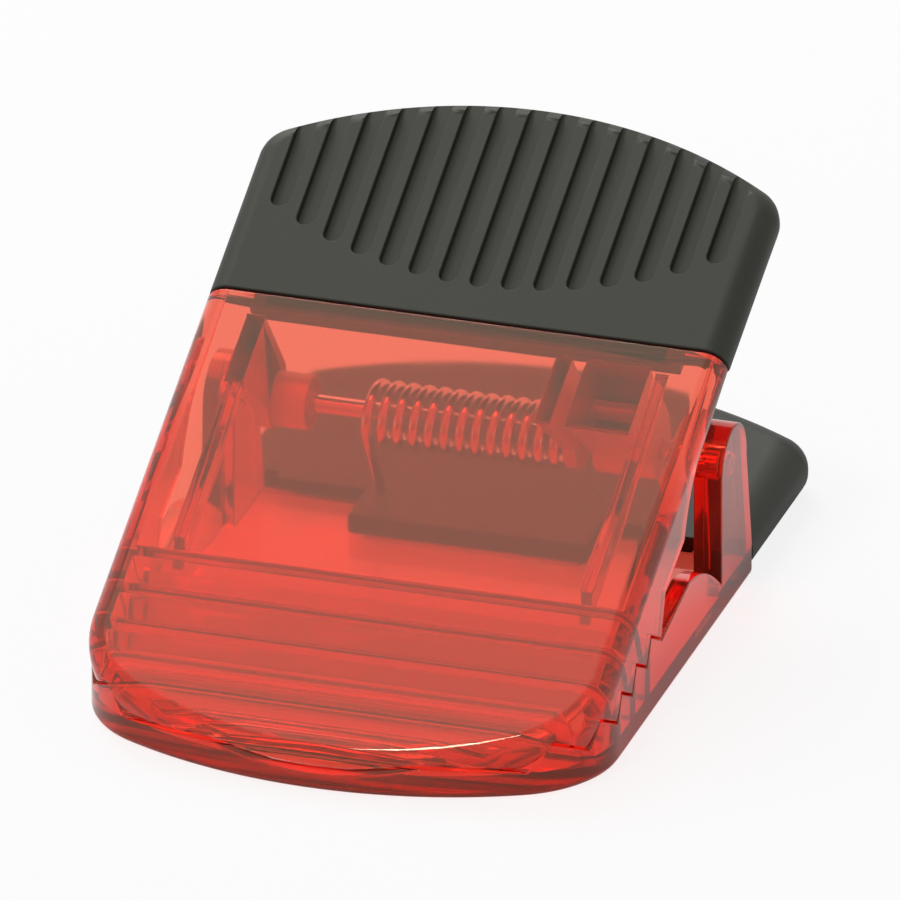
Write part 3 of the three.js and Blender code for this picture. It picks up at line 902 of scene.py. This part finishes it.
def groove(plan, x):
    """A cutter for one finger groove: front end and bottom rounded, mouth flared."""
    half = size("groove_width") / 2
    deep = size("groove_depth")
    lip = plan.groove_lip
    arc = plan.groove_arc
    front = plan.groove_setback + arc - math.sqrt(arc ** 2 - x * x) + half
    end = grip_length(plan) + PAST
    pen = Pen((x + half, end, -deep), UP)
    pen.line((x - half, end, -deep), (x - half, front, -deep))
    pen.arc((x, front, -deep), math.pi, 12)
    cutter = thicken(pen.fill(), UP * (deep - lip))
    bottom = [e for e in cutter.edges if all(v.co.z < -deep + TOUCH for v in e.verts)]
    bevel(cutter, bottom, plan.groove_round, 4)
    top = [f for f in cutter.faces if f.normal.z > 0.9]
    for flare in (0.1 * lip, 0.25 * lip, 0.65 * lip):
        bmesh.ops.inset_region(cutter, faces=top, thickness=-flare, depth=lip / 3)
    grown = bmesh.ops.extrude_face_region(cutter, geom=top)["geom"]
    bmesh.ops.translate(cutter, vec=UP, verts=verts_of(grown))
    bmesh.ops.delete(cutter, geom=top, context="FACES_ONLY")
    bmesh.ops.recalc_face_normals(cutter, faces=cutter.faces[:])
    return cutter


def groove_row(plan):
    """The finger grooves as one set of cutters, open at the rear."""
    middle = (plan.groove_count - 1) / 2
    return gather(groove(plan, (i - middle) * plan.groove_pitch)
                  for i in range(plan.groove_count))


def apron_parts(plan):
    """The lower grip's apron and the room for the magnet in it, in the grip's own frame."""
    centre = Vector((0, -plan.lower_edge))
    grown = plan.window + Vector((plan.apron_wall, plan.apron_wall))
    slope = (plan.grip_tip - plan.grip_root) / grip_length(plan)
    rear = (plan.apron_top - plan.grip_root) / slope + plan.gap
    apron = block(
        (*(centre - grown), -plan.apron_top), (grown.x, rear, -size("wall") - plan.gap))
    bevel(apron, apron.edges[:], plan.apron_round, 3)
    room = block(
        (*(centre - plan.window), -plan.magnet.z - plan.gap), (*(centre + plan.window), 0))
    return apron, room


def grip_form(plan, covers):
    """A grip with its outer face at z 0 and its depth toward -z, as both jaws carry it.

    The inner side is rounded in over the pillow's width, and the depth grows to the end.
    The grip that covers the magnet has an apron for it.
    """
    band = size("grip_rim") + 0.5
    pillow = size("pillow")
    body = thicken(grip_outline(plan, 0), -UP * (band + pillow))
    bevel(body, rim_edges(body, 0), size("grip_rim"), 8)
    bevel(body, rim_edges(body, -band - pillow), pillow, 10)
    for vert in body.verts:
        if vert.co.z < -band:
            along = vert.co.y / grip_length(plan)
            depth = plan.grip_root + (plan.grip_tip - plan.grip_root) * along
            vert.co.z = -band + (vert.co.z + band) * (depth - band) / pillow
    form = Form(body)
    form.add(block((-plan.lip_half, -plan.lip, -plan.grip_root),
                   (plan.lip_half, PAST, -size("wall") - plan.gap)))
    shifted = place(form.as_bmesh(), Matrix.Translation((0, plan.gap, 0)))
    form = Form(shifted).break_edges(0.22, sharp=40.0)
    if covers:
        apron, room = apron_parts(plan)
        form.add(apron)
        form.cut(room)
    form.cut(tab(plan, plan.gap))
    form.cut(groove_row(plan))
    return form


# Steel pieces

def pin_form(plan):
    bm = bar(plan.pin_radius, plan.hinge - ALONG_X * plan.pin_half,
             plan.hinge + ALONG_X * plan.pin_half, 32)
    ends = [e for e in bm.edges if abs(e.verts[0].co.x - e.verts[1].co.x) < TOUCH]
    bevel(bm, ends, plan.steel_round, 3)
    return Form(bm)


def magnet_form(plan):
    bm = block((*-plan.magnet.xy, 0), plan.magnet)
    bevel(bm, bm.edges[:], plan.magnet_round, 3)
    return Form(bm)


def spring_form(plan):
    """One unbroken wire: lower leg, coil round the pin from left to right, upper leg."""
    wire = size("wire") / 2
    coil = size("coil")
    lug_x, lug_width, _ = plan.lugs[0]
    left = lug_x + lug_width + plan.coil_start
    right = plan.lugs[2][0] - plan.gap - wire
    turns = math.floor((right - left) / plan.coil_lead) + 1
    lower_way = math.radians(-60)
    upper_way = math.radians(70)
    start = lower_way - math.pi / 2
    sweep = start - (upper_way + math.pi / 2 - 2 * math.pi * turns)
    steps_a_turn = 40
    steps = round(sweep / (2 * math.pi) * steps_a_turn)

    def spoke(angle):
        return Vector((0, math.cos(angle), math.sin(angle)))

    # Straight legs: the lower one ends over the apron, the upper one under the upper grip
    touch_low = plan.hinge + spoke(start) * coil
    low_leg = (touch_low.z - plan.apron_top - plan.gap - wire * 0.5) / math.sin(-lower_way)
    touch_high = plan.hinge + spoke(upper_way + math.pi / 2) * coil
    lean = upper_way - plan.tilt
    normal = Vector((0, -math.sin(plan.tilt), math.cos(plan.tilt)))
    edge = Vector((0, plan.upper_edge, plan.panel_z(plan.upper_edge)))
    depth = -(touch_high - edge).dot(normal)
    stand = plan.grip_root + 2 * plan.gap + wire * math.cos(lean)
    high_leg = (depth - stand) / math.sin(lean)

    bm = bmesh.new()
    disc = bmesh.ops.create_circle(bm, cap_ends=False, segments=14, radius=wire)["verts"]
    # The first ring stands across the lower leg, at the tip
    way = spoke(lower_way)
    out = spoke(start)
    turn = Matrix((ALONG_X, out, -way)).transposed().to_4x4()
    tip = touch_low + way * low_leg + ALONG_X * left
    bmesh.ops.transform(bm, matrix=Matrix.Translation(tip) @ turn, verts=disc)
    ring = bm.edges[:]

    def draw(edges, move):
        """Draws a ring of edges on, and gives the new ring."""
        grown = bmesh.ops.extrude_edge_only(bm, edges=edges)["geom"]
        verts = verts_of(grown)
        bmesh.ops.translate(bm, verts=verts, vec=move)
        return [g for g in grown if isinstance(g, bmesh.types.BMEdge)
                and g.verts[0] in verts and g.verts[1] in verts]

    first = ring
    ring = draw(ring, -way * low_leg)
    wound = bmesh.ops.spin(
        bm, geom=ring, cent=plan.hinge, axis=ALONG_X, angle=-sweep, steps=steps,
        dvec=ALONG_X * (right - left) / steps, use_merge=False)["geom_last"]
    ring = [g for g in wound if isinstance(g, bmesh.types.BMEdge)]
    last = draw(ring, spoke(upper_way) * high_leg)
    for end in (first, last):
        cap = bmesh.ops.contextual_create(bm, geom=end)["faces"]
        bevel(bm, [e for f in cap for e in f.edges], plan.wire_round, 2)
    bmesh.ops.recalc_face_normals(bm, faces=bm.faces[:])
    return Form(bm)


# Operators

class CLIP_OT_jaws(bpy.types.Operator):
    """Builds the two clear jaws"""
    bl_idname = "clip.jaws"
    bl_label = "Jaws"

    def execute(self, context):
        plan = Plan()
        polished = clear_plastic("clear_red_plastic", clear=0.94, frost=0.035)
        moulded = clear_plastic("moulded_red_plastic", clear=0.4, frost=0.2)
        hinge = plan.hinge
        # Boxes round the lugs: the upper jaw's faces with their centres in them are the dull ones
        hair = 0.01
        lugs = [((x - hair, hinge.y - 12, hinge.z - 4),
                 (x + width + hair, hinge.y + 5, hinge.z + 9))
                for x, width, _ in plan.lugs]
        for name, form, dull in (("lower", lower_jaw_form(plan), []),
                                 ("upper", upper_jaw_form(plan), lugs)):
            form.break_edges(size("edge")).paint(dull)
            form.finish(name + "_clear_jaw", name, name + "_jaw", "clear_red_plastic",
                        polished, moulded)
        return {"FINISHED"}


class CLIP_OT_grips(bpy.types.Operator):
    """Builds the two black grips"""
    bl_idname = "clip.grips"
    bl_label = "Grips"

    def execute(self, context):
        plan = Plan()
        rubber = soft_rubber()
        turned = plan.lower_frame() @ Matrix.Rotation(math.pi, 4, "Y")
        for name, covers, frame_of in (("upper", False, plan.upper_frame()),
                                       ("lower", True, turned)):
            form = grip_form(plan, covers)
            form.mesh.transform(frame_of)
            form.finish(name + "_soft_grip", name, name + "_grip", "black_rubber", rubber)
        return {"FINISHED"}


class CLIP_OT_steel(bpy.types.Operator):
    """Builds the hinge pin and the torsion spring"""
    bl_idname = "clip.steel"
    bl_label = "Pin and Spring"

    def execute(self, context):
        plan = Plan()
        pin_form(plan).finish(
            "steel_pin", "lower", "hinge_pin", "pin_steel",
            bright_steel("pin_steel", (0.1, 1.0, 1.0)))
        spring = spring_form(plan).finish(
            "wound_spring", None, "torsion_spring", "spring_steel",
            bright_steel("spring_steel", (1.0, 0.3, 0.3)))
        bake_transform(spring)
        return {"FINISHED"}


class CLIP_OT_magnet(bpy.types.Operator):
    """Builds the bar magnet in the lower jaw's window"""
    bl_idname = "clip.magnet"
    bl_label = "Magnet"

    def execute(self, context):
        magnet_form(Plan()).finish(
            "bar_magnet", "lower", "magnet", "ferrite", sintered_ferrite())
        return {"FINISHED"}


class CLIP_OT_stage(bpy.types.Operator):
    """Sets the floor, the lamps, the world and the camera"""
    bl_idname = "clip.stage"
    bl_label = "Stage"

    def execute(self, context):
        scene = context.scene
        floor = bmesh.new()
        bmesh.ops.create_grid(floor, x_segments=1, y_segments=1, size=3.0)
        # A hair under the clip
        bmesh.ops.translate(floor, vec=(0, 0, -0.05 * MM), verts=floor.verts[:])
        mesh = bpy.data.meshes.new("floor")
        floor.to_mesh(mesh)
        floor.free()
        mesh.materials.append(pale_floor())
        ground = bpy.data.objects.new("floor", mesh)
        scene.collection.objects.link(ground)

        self.softbox("overhead", (-0.23, 0.143, 0.82), (0, -0.03, 0.02), 0.55, 0.8)
        self.softbox("behind", (-0.42, 0.58, 0.70), (0, -0.02, 0.02), 0.5, 6.0)
        self.softbox("small", (-0.14, -0.34, 0.96), (0, -0.06, 0.01), 0.16, 28.0)

        # The room lights the clip dimly, but looks white, also through the clip and in its gloss
        scene.world = bpy.data.worlds.new("studio")
        studio = Nodes(scene.world)
        room = studio.tree.nodes["Background"]
        studio.feed(room.inputs["Color"], WHITE)
        studio.feed(room.inputs["Strength"], 0.34)
        wall = studio.node("ShaderNodeBackground", None, {"Color": WHITE, "Strength": 1.0})
        seen = studio.ray("Camera").or_higher(studio.ray("Transmission"))
        studio.feed(
            studio.tree.nodes["World Output"].inputs["Surface"],
            studio.either(seen.or_higher(studio.ray("Glossy")),
                          Value(studio, room.outputs[0]), wall))

        # A long lens far off, for what is practically a parallel view
        aim = Vector((0.931, -14.099, 19.754)) * MM
        back = Vector((0.27039, -0.86231, 0.42814))
        distance = 4
        camera = bpy.data.objects.new("camera", bpy.data.cameras.new("camera"))
        camera.data.lens = 1453.4
        camera.data.sensor_width = 36
        camera.data.clip_start = 0.01
        camera.location = aim + back.normalized() * distance
        camera.rotation_euler = back.to_track_quat("Z", "Y").to_euler()
        scene.collection.objects.link(camera)
        scene.camera = camera
        scene.view_settings.view_transform = "Standard"
        return {"FINISHED"}

    def softbox(self, name, at, target, side, radiance):
        """A square lamp whose face has the given brightness, white being 1."""
        lamp = bpy.data.lights.new(name, "AREA")
        lamp.shape = "SQUARE"
        lamp.size = side
        lamp.energy = radiance * math.pi * side * side
        holder = bpy.data.objects.new(name, lamp)
        holder.location = at
        way = Vector(at) - Vector(target)
        holder.rotation_euler = way.to_track_quat("Z", "Y").to_euler()
        bpy.context.scene.collection.objects.link(holder)


class CLIP_PT_panel(bpy.types.Panel):
    """Sizes, colours and the operators that build the clip"""
    bl_idname = "CLIP_PT_panel"
    bl_label = "Memo Clip"
    bl_space_type = "VIEW_3D"
    bl_region_type = "UI"
    bl_category = "Memo Clip"

    def draw(self, context):
        column = self.layout.column()
        for name in ClipSizes.__annotations__:
            column.prop(context.scene.clip_sizes, name)
        for name in ClipColours.__annotations__:
            column.prop(context.scene.clip_colours, name)
        for operator in OPERATORS:
            column.operator(operator.bl_idname)


OPERATORS = (CLIP_OT_jaws, CLIP_OT_grips, CLIP_OT_steel, CLIP_OT_magnet, CLIP_OT_stage)
CLASSES = (ClipSizes, ClipColours) + OPERATORS + (CLIP_PT_panel,)


def register():
    for cls in CLASSES:
        bpy.utils.register_class(cls)
    bpy.types.Scene.clip_sizes = bpy.props.PointerProperty(type=ClipSizes)
    bpy.types.Scene.clip_colours = bpy.props.PointerProperty(type=ClipColours)


def unregister():
    del bpy.types.Scene.clip_colours
    del bpy.types.Scene.clip_sizes
    for cls in reversed(CLASSES):
        bpy.utils.unregister_class(cls)


def main():
    register()
    bpy.ops.clip.stage()
    bpy.ops.clip.jaws()
    bpy.ops.clip.grips()
    bpy.ops.clip.steel()
    bpy.ops.clip.magnet()


if __name__ == "__main__":
    main()
